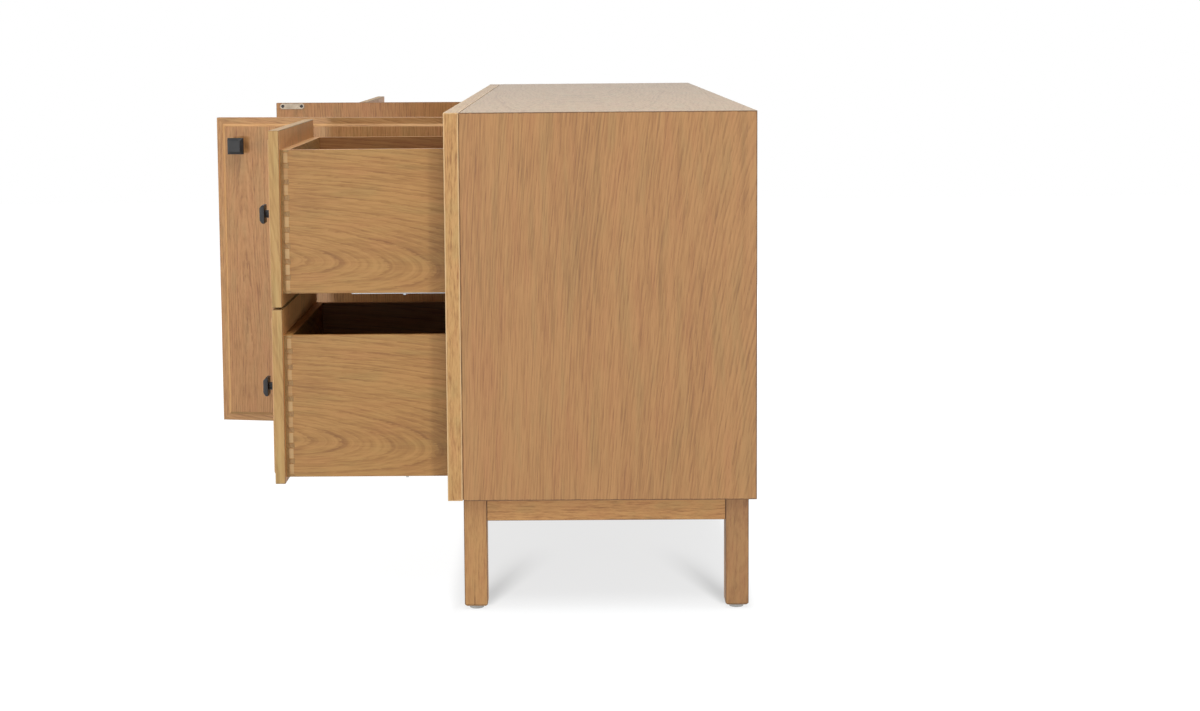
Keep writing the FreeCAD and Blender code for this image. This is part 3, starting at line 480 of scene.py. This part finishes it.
def eased(node, material, arris=0.0005):
    """The piece as its maker leaves it: its edges rounded over by a light pass with paper.

    It is the CAD's mesh with its flat faces joined, and each sharp edge bevelled by the arris.
    """
    mesh = cad_nodes[node].data.copy()
    shape = bmesh.new()
    shape.from_mesh(mesh)
    bmesh.ops.remove_doubles(shape, verts=shape.verts, dist=WELD)
    bmesh.ops.dissolve_limit(shape, angle_limit=FLAT_ANGLE, verts=shape.verts, edges=shape.edges)
    for face in shape.faces:
        face.smooth = any(edge.is_manifold and CURVE_LEAST < edge.calc_face_angle() < CURVE_MOST
                          for edge in face.edges)
    for edge in shape.edges:
        edge.smooth = not edge.is_manifold or edge.calc_face_angle() < CURVE_MOST
    shape.to_mesh(mesh)
    shape.free()
    mesh.materials.clear()
    mesh.materials.append(material)
    piece = bpy.data.objects.new(f"{node}_finished", mesh)
    bpy.context.scene.collection.objects.link(piece)
    rounding = piece.modifiers.new("arris", "BEVEL")
    rounding.width, rounding.segments = arris, ARRIS_STEPS
    rounding.limit_method, rounding.angle_limit = "ANGLE", SHARP_ANGLE
    rounding.harden_normals = True
    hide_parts(node)
    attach(piece, cad_nodes[node]["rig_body"])


# The end panels' arris line is made strong and wide: in part painted shade of the groove beside the lipping.
for side_name, side in SIDES.items():
    node = f"{side_name}_end_panel"
    end_oak = oak(node, CASE_TONES, "Z", "Y", heart=(0.33, 0.19 + 0.02 * side), slant=0.15, ring=0.0040,
                  ring_mark=0.9, fibre_mark=0.9, fine_mark=1.25, broad_mark=0.5, length=1.1,
                  edge_mark=0.9, edge_width=0.0020)
    eased(node, end_oak)
top_oak = oak("top_panel", TOP_TONES, "X", "Y", heart=(-0.04, 0.10), slant=0.07, ring=0.006, sway=0.02,
              matt=0.36)
eased("top_panel", top_oak)
bottom_oak = oak("bottom_panel", CASE_TONES, "X", "Y", heart=(0.30, 0.12), slant=0.05, sway=0.02)
eased("bottom_panel", bottom_oak)


# Lippings: strips of solid oak round the front of the case, a shade yellower than the veneer and
# mitred at the corners, with the grain along each strip. Their arrises carry a painted pale
# highlight.
LIPPING_TONES = ((0.575, 0.323, 0.115), (0.499, 0.261, 0.086), (0.317, 0.144, 0.042))
TOP_LIPPING_TONES = ((0.580, 0.358, 0.132), (0.503, 0.289, 0.098), (0.319, 0.160, 0.048))
# The lippings' pale arris line is a painted highlight.
PAINTED_ARRIS_HIGHLIGHT = (0.76, 0.53, 0.28)
for node, along, tones, matt in (("right_lipping", "Z", LIPPING_TONES, 0.50),
                                 ("left_lipping", "Z", LIPPING_TONES, 0.50),
                                 ("top_lipping", "X", TOP_LIPPING_TONES, 0.36),
                                 ("bottom_lipping", "X", LIPPING_TONES, 0.50)):
    strip_oak = oak(node, tones, along, "Y", heart=(0.05, 0.03), slant=0.02, ring=0.0035, sway=0.004,
                    ring_mark=0.9, fibre_mark=1.6, fine_mark=1.7, length=0.35, edge_mark=0.7,
                    edge_width=0.0022, edge_tone=PAINTED_ARRIS_HIGHLIGHT, matt=matt)
    eased(node, strip_oak)


# Inside of the case: two partitions and a loose shelf in oak veneer, and a thin oak back panel let
# in between the boards. All are finished as the outside is, a little browner.
INSIDE_TONES = ((0.400, 0.200, 0.074), (0.335, 0.158, 0.055), (0.205, 0.088, 0.028))
for node, along, across, heart in (("right_partition", "Z", "Y", (0.05, 0.08)),
                                   ("left_partition", "Z", "Y", (-0.07, 0.09)),
                                   ("shelf", "X", "Y", (0.03, 0.07)),
                                   ("back_panel", "X", "Z", (0.06, 0.09))):
    eased(node, oak(node, INSIDE_TONES, along, across, heart=heart, slant=0.08))


# Base: four square legs with an eased foot, rails between them just inside their faces, and blocks
# that hold the rails to the case. All are solid oak with the grain along each piece.
BASE_TONES = ((0.505, 0.266, 0.094), (0.425, 0.208, 0.070), (0.265, 0.116, 0.036))
BACK_LEG_TONES = ((0.395, 0.202, 0.074), (0.330, 0.158, 0.056), (0.200, 0.086, 0.030))
RAIL_TONES = ((0.573, 0.294, 0.100), (0.482, 0.230, 0.074), (0.300, 0.130, 0.038))
RAIL_THICKNESS = 0.022
LEG_HEART, LEG_HEART_STEP = 0.07, 0.05
for number, (node, tones) in enumerate((("front_right_leg", BASE_TONES), ("back_right_leg", BACK_LEG_TONES),
                                        ("front_left_leg", BASE_TONES), ("back_left_leg", BACK_LEG_TONES))):
    leg_oak = oak(node, tones, "Z", "Y", heart=(LEG_HEART - LEG_HEART_STEP * number, 0.05), slant=0.03,
                  ring=0.0030, sway=0.003, ring_mark=0.7, fibre_mark=1.3, fine_mark=1.2, length=0.4,
                  edge_mark=0.8, edge_width=0.0016)
    eased(node, leg_oak, arris=0.001)
for node, along in (("side_rails", "Y"), ("long_rails", "X")):
    rail_oak = oak(node, RAIL_TONES, along, "Z", heart=(-0.06, 0.04), slant=0.02, ring=0.0032, sway=0.003,
                   ring_mark=0.8, fibre_mark=1.5, fine_mark=1.4, length=0.35, thickness=RAIL_THICKNESS,
                   edge_mark=0.8)
    eased(node, rail_oak)
block_oak = oak("fixing_blocks", BASE_TONES, "X", "Y", heart=(0.02, 0.02), edge_mark=0.0)
eased("fixing_blocks", block_oak)


# Doors and drawer fronts: boards whose raised field has a bevelled edge, veneered with the grain
# upright inside a mitred border of strips with the grain along each. The drawer fronts are lipped
# with thin strips of paler solid oak.
FRONT_TONES = ((0.530, 0.272, 0.102), (0.442, 0.214, 0.073), (0.276, 0.118, 0.039))
STRIP_TONES = ((0.530, 0.322, 0.112), (0.455, 0.256, 0.080), (0.300, 0.146, 0.042))
LIPPING_WIDTH = 0.0015
BORDER_WIDTH, BEVEL_WIDTH = 0.011, 0.004
# The last tint, on the fields' bevels, is a painted highlight.
BORDER = (BORDER_WIDTH, BEVEL_WIDTH, (1.06, 1.12, 1.15), (1.20, 1.26, 1.36))
# The drawer fronts' inner faces are tinted lighter: painted light.
DRAWER_INSIDE_PAINTED_LIGHT = (1.31, 1.27, 1.20)
DOOR_INSIDE = (0.92, 0.84, 0.745)
DOOR_ANGLES = {"right": 80.0, "left": -95.5}
FRONT_ARRIS = 0.0007
# The zone of a front's outer face is counted from the middle of the board. The strips are cut from
# the same oak this far away, so that their figure is their own.
FRONT_ZONE, FRONT_ZONE_BLUR = -0.0055, 0.0005
STRIP_SHIFT = 0.6


def moved(tree, share, first, second):
    """The place that lies between two places by a share."""
    mix = tree.nodes.new("ShaderNodeMix")
    mix.data_type, mix.clamp_factor = "VECTOR", True
    for number, value in ((0, share), (4, first), (5, second)):
        linked(tree, mix.inputs[number], value)
    return mix.outputs[1]


def make_mitred_border():
    """Strips mitred round the outer face of a front, with a bevel along their inner edge.

    A point is on the border where it is in the zone of the outer face and nearer an edge than the
    width and the bevel together, and on the bevel where it is also past the width. The grain place
    is shifted on the border, and it has its grain turned where an end is nearer than a side.
    """
    tree, put, out = new_effect("mitred_border", (
        ("Grain Place", "Vector"), ("Half Size", "Vector"), ("Width", "Float", 0.011),
        ("Bevel", "Float", 0.004)),
        (("Grain Place", "Vector"), ("Border", "Float"), ("Bevel", "Float")))
    along, across, deep = parted(tree, put["Grain Place"])
    half_length, half_width, _ = parted(tree, put["Half Size"])
    from_end = calc(tree, "SUBTRACT", half_length, calc(tree, "ABSOLUTE", along))
    from_side = calc(tree, "SUBTRACT", half_width, calc(tree, "ABSOLUTE", across))
    past_width = calc(tree, "SUBTRACT", calc(tree, "MINIMUM", from_end, from_side), put["Width"])
    on_border = calc(tree, "MULTIPLY", before(tree, deep, FRONT_ZONE, FRONT_ZONE_BLUR),
                     before(tree, calc(tree, "SUBTRACT", past_width, put["Bevel"]), 0.0))
    stile = joined(tree, calc(tree, "ADD", along, STRIP_SHIFT), across, deep)
    rail = joined(tree, calc(tree, "ADD", across, STRIP_SHIFT), along, deep)
    at_end = past(tree, calc(tree, "SUBTRACT", from_side, from_end), 0.0)
    strips = moved(tree, at_end, stile, rail)
    linked(tree, out["Grain Place"], moved(tree, on_border, put["Grain Place"], strips))
    linked(tree, out["Border"], on_border)
    linked(tree, out["Bevel"], calc(tree, "MULTIPLY", on_border, past(tree, past_width, 0.0)))
    return tree


mitred_border = make_mitred_border()
for side_name, side in SIDES.items():
    for row_name, shift in (("upper", 0.05), ("lower", -0.03)):
        node = f"{side_name}_{row_name}_drawer_front"
        front_oak = oak(node, FRONT_TONES, "Z", "X", heart=(shift * side, 0.05), slant=0.16,
                        lipping=(LIPPING_WIDTH, STRIP_TONES), border=BORDER, inside=(1, DRAWER_INSIDE_PAINTED_LIGHT))
        eased(node, front_oak, arris=FRONT_ARRIS)
    node = f"{side_name}_door_panel"
    door_oak = oak(node, FRONT_TONES, "Z", "X", heart=(-0.165 * side, 0.022), slant=0.04, ring=0.0042,
                   sway=0.012, ring_mark=1.2, fibre_mark=1.0, fine_mark=1.1, length=0.45,
                   border=BORDER, inside=(1, DOOR_INSIDE), turn=DOOR_ANGLES[side_name])
    eased(node, door_oak, arris=FRONT_ARRIS)


# Drawer boxes: sides, fronts and backs of solid oak with the grain level, joined by half-blind
# dovetails whose tails stand out paler, and a veneered bottom in a groove. The edges above carry a
# painted highlight, and the ends of the lap are tinted darker and cooler.
BOX_TONES = ((0.450, 0.232, 0.066), (0.365, 0.176, 0.045), (0.245, 0.104, 0.025))
# The inner faces of the box sides are tinted darker: painted shade.
BOX_INSIDE_PAINTED_SHADE = (0.84, 0.74, 0.80)
# The edges above are tinted much paler: a painted highlight.
PAINTED_TOP_EDGE_HIGHLIGHT = (1.42, 1.45, 1.60)
# The ends of the lap are tinted darker and cooler.
LAP_END = (0.82, 0.94, 1.15)
PALE_TAIL = (0.540, 0.360, 0.165)
SIDE_THICKNESS, TAIL_LENGTH, TAIL_PITCH, PIN_HALF = 0.012, 0.0069, 0.02372, 0.0046
BOX_ARRIS = 0.0003
TAIL_BLUR, PIN_BLUR = 0.0005, 0.0004
TAIL_PATCH, TAIL_SHARES = (0.02, 0.03, 0.03), (0.35, 0.65, 0.25, 0.75)


def make_half_blind_dovetails():
    """The share of paler wood on the tails at the near end of a box side.

    A point is on a tail where it is nearer the end than the tails' length and further than half a
    pin from the nearest pin's middle, and pins repeat by their pitch. Patches vary the share.
    """
    tree, put, out = new_effect("half_blind_dovetails", (
        ("Grain Place", "Vector"), ("Half Size", "Vector"), ("Length", "Float", 0.007),
        ("Pitch", "Float", 0.024), ("Half Pin", "Float", 0.005)), (("Tails", "Float"),))
    along, across, _ = parted(tree, put["Grain Place"])
    half_length, half_width, _ = parted(tree, put["Half Size"])
    reach = calc(tree, "ADD", along, half_length)
    from_pin = calc(tree, "PINGPONG", calc(tree, "ADD", across, half_width),
                    calc(tree, "DIVIDE", put["Pitch"], 2.0))
    tail = calc(tree, "MULTIPLY", before(tree, calc(tree, "SUBTRACT", reach, put["Length"]), 0.0, TAIL_BLUR),
                past(tree, calc(tree, "SUBTRACT", from_pin, put["Half Pin"]), 0.0, PIN_BLUR))
    patchy = ramp(tree, cloud(tree, put["Grain Place"], TAIL_PATCH), *TAIL_SHARES)
    linked(tree, out["Tails"], calc(tree, "MULTIPLY", tail, patchy))
    return tree


half_blind_dovetails = make_half_blind_dovetails()
for side_name, side in SIDES.items():
    for row_name, shift in (("upper", 0.0), ("lower", 0.006)):
        drawer = f"{side_name}_{row_name}_drawer"
        node = f"{drawer}_box_sides"
        side_oak = oak(node, BOX_TONES, "Y", "Z", heart=(-0.068 + shift, 0.040), slant=0.18, drift=-0.07,
                       ring=0.0080, sway=0.008, ring_mark=1.2, ring_rag=0.65, fibre_mark=0.7, fine_mark=1.1,
                       broad_mark=1.0, length=0.65, thickness=SIDE_THICKNESS, edge_mark=0.2,
                       inside=(-1, BOX_INSIDE_PAINTED_SHADE), top_edge_highlight=PAINTED_TOP_EDGE_HIGHLIGHT,
                       tails=(TAIL_LENGTH, TAIL_PITCH, PIN_HALF, PALE_TAIL))
        eased(node, side_oak, arris=BOX_ARRIS)
        node = f"{drawer}_box_ends"
        box_end_oak = oak(node, BOX_TONES, "X", "Z", heart=(0.03, 0.05), slant=0.12, edge_mark=0.0,
                          top_edge_highlight=PAINTED_TOP_EDGE_HIGHLIGHT, end_grain=LAP_END)
        eased(node, box_end_oak, arris=BOX_ARRIS)
        node = f"{drawer}_box_bottom"
        eased(node, oak(node, INSIDE_TONES, "X", "Y", heart=(0.04, 0.06)))


# Knobs: square plates with a bevelled face on a round stem, cast and painted a fine matt black that
# is rubbed a little paler in patches.
KNOB_BLACK, KNOB_RUBBED = (0.010, 0.0110, 0.0125), (0.045, 0.044, 0.045)
GRIT_SIZE = 0.0006
GRIT_WEIGHT, WEAR_SHOWS = 0.35, (0.45, 0.95)
PATCH_MATT = 0.25
SKIN_RELIEF, SKIN_DEPTH = 0.1, 0.0001


def make_skin():
    """A thin finish on metal or plastic, from noise in two sizes.

    Where the patch noise and a share of the fine grit together are high, the finish is worn. The
    patches also make it a little duller or brighter, and the grit alone gives the height.
    """
    tree, put, out = new_effect("thin_finish", (
        ("Place", "Vector"), ("Base", "Color"), ("Worn", "Color"), ("Grit", "Float", GRIT_SIZE),
        ("Patch", "Float", 0.02), ("Wear", "Float", 0.3), ("Matt", "Float", 0.4)),
        (("Color", "Color"), ("Roughness", "Float"), ("Height", "Float")))

    def at_scale(size):
        """The place divided by a size."""
        step = tree.nodes.new("ShaderNodeVectorMath")
        step.operation = "SCALE"
        linked(tree, step.inputs[0], put["Place"])
        linked(tree, step.inputs["Scale"], calc(tree, "DIVIDE", 1.0, size))
        return step.outputs[0]

    grit = cloud(tree, at_scale(put["Grit"]), detail=2.0, roughness=0.6)
    patch = cloud(tree, at_scale(put["Patch"]), detail=3.0, roughness=0.6)
    worn = ramp(tree, calc(tree, "MULTIPLY_ADD", grit, GRIT_WEIGHT, patch), *WEAR_SHOWS)
    wear = calc(tree, "MULTIPLY", worn, put["Wear"])
    matt = calc(tree, "MULTIPLY", calc(tree, "SUBTRACT", patch, 0.5), PATCH_MATT)
    linked(tree, out["Color"], blended(tree, wear, put["Base"], put["Worn"]))
    linked(tree, out["Roughness"], calc(tree, "ADD", put["Matt"], matt))
    linked(tree, out["Height"], grit)
    return tree


thin_finish = make_skin()


def skinned(name, base, worn, metallic, matt, patch=0.02, wear=0.3, sheen=0.5):
    """A metal or plastic material with a thin finish, in its fresh and its worn colour."""
    material = bpy.data.materials.new(name)
    material.use_nodes = True
    tree = material.node_tree
    shader = tree.nodes["Principled BSDF"]
    skin = applied(tree, thin_finish, place=tree.nodes.new("ShaderNodeTexCoord").outputs["Object"],
                   base=(*base, 1.0), worn=(*worn, 1.0), grit=GRIT_SIZE, patch=patch, wear=wear, matt=matt)
    bump = tree.nodes.new("ShaderNodeBump")
    bump.inputs["Strength"].default_value = SKIN_RELIEF
    bump.inputs["Distance"].default_value = SKIN_DEPTH
    linked(tree, bump.inputs["Height"], skin["Height"])
    linked(tree, shader.inputs["Base Color"], skin["Color"])
    linked(tree, shader.inputs["Roughness"], skin["Roughness"])
    linked(tree, shader.inputs["Normal"], bump.outputs[0])
    shader.inputs["Metallic"].default_value = metallic
    shader.inputs["Specular IOR Level"].default_value = sheen
    return material


knob_paint = skinned("knob_paint", KNOB_BLACK, KNOB_RUBBED, metallic=0.0, matt=0.46, wear=0.5, sheen=0.36)
for side_name in SIDES:
    for piece_name in ("upper_drawer_knobs", "lower_drawer_knobs", "door_knob"):
        eased(f"{side_name}_{piece_name}", knob_paint, arris=0.0007)


# Ironwork: zinc-plated runners folded from strip, nickel-plated butt hinges, strike plates and
# shelf pins, and the dull screws of the strike plates.
ZINC, ZINC_WORN = (0.38, 0.39, 0.40), (0.27, 0.28, 0.29)
NICKEL, NICKEL_WORN = (0.325, 0.267, 0.204), (0.243, 0.195, 0.150)
SCREW_STEEL, SCREW_STEEL_WORN = (0.030, 0.027, 0.027), (0.09, 0.08, 0.075)
SHEET_ARRIS, SCREW_ARRIS, PIN_ARRIS = 0.0002, 0.0001, 0.0003
zinc = skinned("runner_zinc_plate", ZINC, ZINC_WORN, metallic=1.0, matt=0.42, patch=0.03, wear=0.5)
nickel = skinned("nickel_plate", NICKEL, NICKEL_WORN, metallic=1.0, matt=0.50, patch=0.015, wear=0.4)
screw_steel = skinned("screw_steel_plate", SCREW_STEEL, SCREW_STEEL_WORN, metallic=1.0, matt=0.45,
                      patch=0.004, wear=0.5)
for side_name in SIDES:
    for row_name in ("upper", "lower"):
        for member in ("slides", "middle_slides"):
            eased(f"{side_name}_{row_name}_drawer_{member}", zinc, arris=SHEET_ARRIS)
    eased(f"{side_name}_door_hinge_leaves", nickel, arris=SHEET_ARRIS)
    eased(f"{side_name}_door_strike_plate", nickel, arris=SHEET_ARRIS)
    eased(f"{side_name}_door_strike_screws", screw_steel, arris=SCREW_ARRIS)
eased("case_slides", zinc, arris=SHEET_ARRIS)
eased("hinge_frame_leaves", nickel, arris=SHEET_ARRIS)
eased("shelf_pins", nickel, arris=PIN_ARRIS)


# Plastic parts: brown bodies of the magnetic catches and grey glides under the legs, both moulded
# with a dull skin that is a little scuffed.
CATCH_BROWN, CATCH_SCUFFED = (0.085, 0.040, 0.018), (0.14, 0.07, 0.035)
GLIDE_GREY, GLIDE_SCUFFED = (0.50, 0.50, 0.48), (0.34, 0.34, 0.33)
catch_plastic = skinned("catch_plastic", CATCH_BROWN, CATCH_SCUFFED, metallic=0.0, matt=0.45)
glide_plastic = skinned("glide_plastic", GLIDE_GREY, GLIDE_SCUFFED, metallic=0.0, matt=0.55)
eased("magnetic_catches", catch_plastic, arris=0.0008)
eased("glides", glide_plastic, arris=0.0010)


# Studio: a white floor whose glow has painted shade under the case and painted soft shadows of the
# legs, white surroundings, and six soft lamps: to the left and right of the camera, before and
# behind the case, past its far end, and a large one overhead.
FLOOR_SIZE = 14.0
FLOOR_GREY, FLOOR_ROUGHNESS = (0.200, 0.210, 0.216, 1), 0.9
# The floor's own light under the case and how much more it has away from it, so that it has painted
# shade under the case. The painted shade is counted from its middle line: it fades between these
# distances aside and along.
UNDER_CASE, OUTSIDE = 0.745, 0.20
SHADOW_MIDDLE_Y = 0.216
SHADOW_ASIDE, SHADOW_ALONG = (0.205, 0.245), (0.80, 1.06)
# A leg's shadow: its length, how far it slips aside and spreads by its end, and how dark it is.
STREAK_LENGTH, STREAK_SLIP, STREAK_SOFTNESS, STREAK_DEPTH = 0.42, 0.10, 0.045, 0.22
STREAK_BLUR = 0.008
STREAK_STARTS, STREAK_FADES = (0.0, 0.05), (0.1, 1.0, 1.0, 0.0)
WORLD_LIGHT = 0.36
LIT_PLACE = (0.9, 0.0, 0.30)
LAMP_DISTANCE = 4.2


def lamp(name, turn, height, size, level, distance=LAMP_DISTANCE, mirrored=True):
    """A soft lamp of a given width and height, placed round the case's near end.

    Turn is its angle from the long axis and height its angle above the level, in degrees. Level is
    how bright it makes a white card that faces it at the near end: its power is the level times pi
    squared and the distance squared. A lamp that isn't mirrored leaves no glare on the lacquer.
    """
    light = bpy.data.lights.new(name, "AREA")
    light.shape, light.size, light.size_y = "RECTANGLE", *size
    light.energy = level * math.pi ** 2 * distance ** 2
    item = bpy.data.objects.new(name, light)
    bpy.context.scene.collection.objects.link(item)
    away = Euler((0, -math.radians(height), math.radians(turn))).to_matrix() @ Vector((distance, 0, 0))
    item.location = Vector(LIT_PLACE) + away
    item.rotation_euler = away.to_track_quat("Z", "Y").to_euler()
    item.visible_glossy = mirrored


def looked_at(tree):
    """1 for rays that look at a surface, straight or by way of a gloss or glass, and 0 for others."""
    rays = tree.nodes.new("ShaderNodeLightPath").outputs
    return calc(tree, "MAXIMUM", rays["Is Camera Ray"],
                calc(tree, "MAXIMUM", rays["Is Glossy Ray"], rays["Is Transmission Ray"]))


floor_mesh = bpy.data.meshes.new("studio_floor")
floor_half = FLOOR_SIZE / 2
floor_corners = [(x * floor_half, y * floor_half, 0) for x, y in ((-1, -1), (1, -1), (1, 1), (-1, 1))]
floor_mesh.from_pydata(floor_corners, [], [(0, 1, 2, 3)])
floor = bpy.data.objects.new("studio_floor", floor_mesh)
bpy.context.scene.collection.objects.link(floor)
paper = bpy.data.materials.new("floor_paper")
paper.use_nodes = True
tree = paper.node_tree
shader = tree.nodes["Principled BSDF"]
shader.inputs["Base Color"].default_value = FLOOR_GREY
shader.inputs["Roughness"].default_value = FLOOR_ROUGHNESS
shader.inputs["Specular IOR Level"].default_value = 0.0
floor_x, floor_y, _ = parted(tree, tree.nodes.new("ShaderNodeTexCoord").outputs["Object"])
aside = calc(tree, "ABSOLUTE", calc(tree, "SUBTRACT", floor_y, SHADOW_MIDDLE_Y))
away_from_case = calc(tree, "MAXIMUM", ramp(tree, aside, *SHADOW_ASIDE),
                      ramp(tree, calc(tree, "ABSOLUTE", floor_x), *SHADOW_ALONG))
streaks = []
for leg, slip in (("front_right_leg", STREAK_SLIP), ("back_right_leg", -STREAK_SLIP)):
    (low_x, low_y, _), (high_x, high_y, _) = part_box(leg)
    middle_x, middle_y, half_width = (low_x + high_x) / 2, (low_y + high_y) / 2, (high_y - low_y) / 2
    back = calc(tree, "DIVIDE", calc(tree, "SUBTRACT", middle_x, floor_x), STREAK_LENGTH)
    line_y = calc(tree, "MULTIPLY_ADD", back, slip, middle_y)
    off = calc(tree, "ABSOLUTE", calc(tree, "SUBTRACT", floor_y, line_y))
    soft = calc(tree, "MULTIPLY_ADD", back, STREAK_SOFTNESS, STREAK_BLUR)
    across = ramp(tree, off, calc(tree, "SUBTRACT", half_width, soft), calc(tree, "ADD", soft, half_width),
                  1.0, 0.0)
    lengthwise = calc(tree, "MULTIPLY", ramp(tree, back, *STREAK_STARTS), ramp(tree, back, *STREAK_FADES))
    streaks.append(calc(tree, "MULTIPLY", across, lengthwise))
lit = calc(tree, "MULTIPLY_ADD", away_from_case, OUTSIDE, UNDER_CASE)
lit = calc(tree, "MULTIPLY_ADD", calc(tree, "MAXIMUM", *streaks), -STREAK_DEPTH, lit)
glow = tree.nodes.new("ShaderNodeEmission")
linked(tree, glow.inputs["Strength"], calc(tree, "MULTIPLY", looked_at(tree), lit))
both = tree.nodes.new("ShaderNodeAddShader")
linked(tree, both.inputs[0], shader.outputs[0])
linked(tree, both.inputs[1], glow.outputs[0])
linked(tree, tree.nodes["Material Output"].inputs["Surface"], both.outputs[0])
floor_mesh.materials.append(paper)

world = bpy.data.worlds.new("studio")
bpy.context.scene.world = world
world.use_nodes = True
tree = world.node_tree
white = tree.nodes["Background"]
white.inputs["Color"].default_value = (1, 1, 1, 1)
linked(tree, white.inputs["Strength"],
       calc(tree, "MULTIPLY_ADD", looked_at(tree), 1 - WORLD_LIGHT, WORLD_LIGHT))

lamp("left_softbox", turn=-27, height=0, size=(0.8, 0.22), level=0.285)
lamp("right_softbox", turn=33, height=0, size=(0.6, 0.22), level=0.225)
lamp("front_softbox", turn=-90, height=5, size=(1.8, 0.5), level=0.36, mirrored=False)
lamp("back_softbox", turn=90, height=5, size=(1.8, 0.5), level=0.34, mirrored=False)
lamp("far_end_softbox", turn=180, height=5, size=(0.8, 0.5), level=0.30, mirrored=False)
lamp("overhead_softbox", turn=10, height=68, size=(2.2, 2.2), level=0.57, distance=3.2)

scene = bpy.context.scene
scene.view_settings.view_transform = "Standard"
view = bpy.data.cameras.new("photograph_view")
view.lens, view.shift_x, view.shift_y = 63.62, 0.0425, -0.0883
camera = bpy.data.objects.new("photograph_view", view)
scene.collection.objects.link(camera)
camera.location = (3.9991, 0.1748, 0.8518)
pitch, yaw, roll = 5.748, -0.643, 0.486
aim = Euler((math.radians(90 - pitch), 0, math.radians(90 - yaw))).to_matrix()
camera.rotation_euler = (aim @ Matrix.Rotation(-math.radians(roll), 3, "Z")).to_euler()
scene.camera = camera
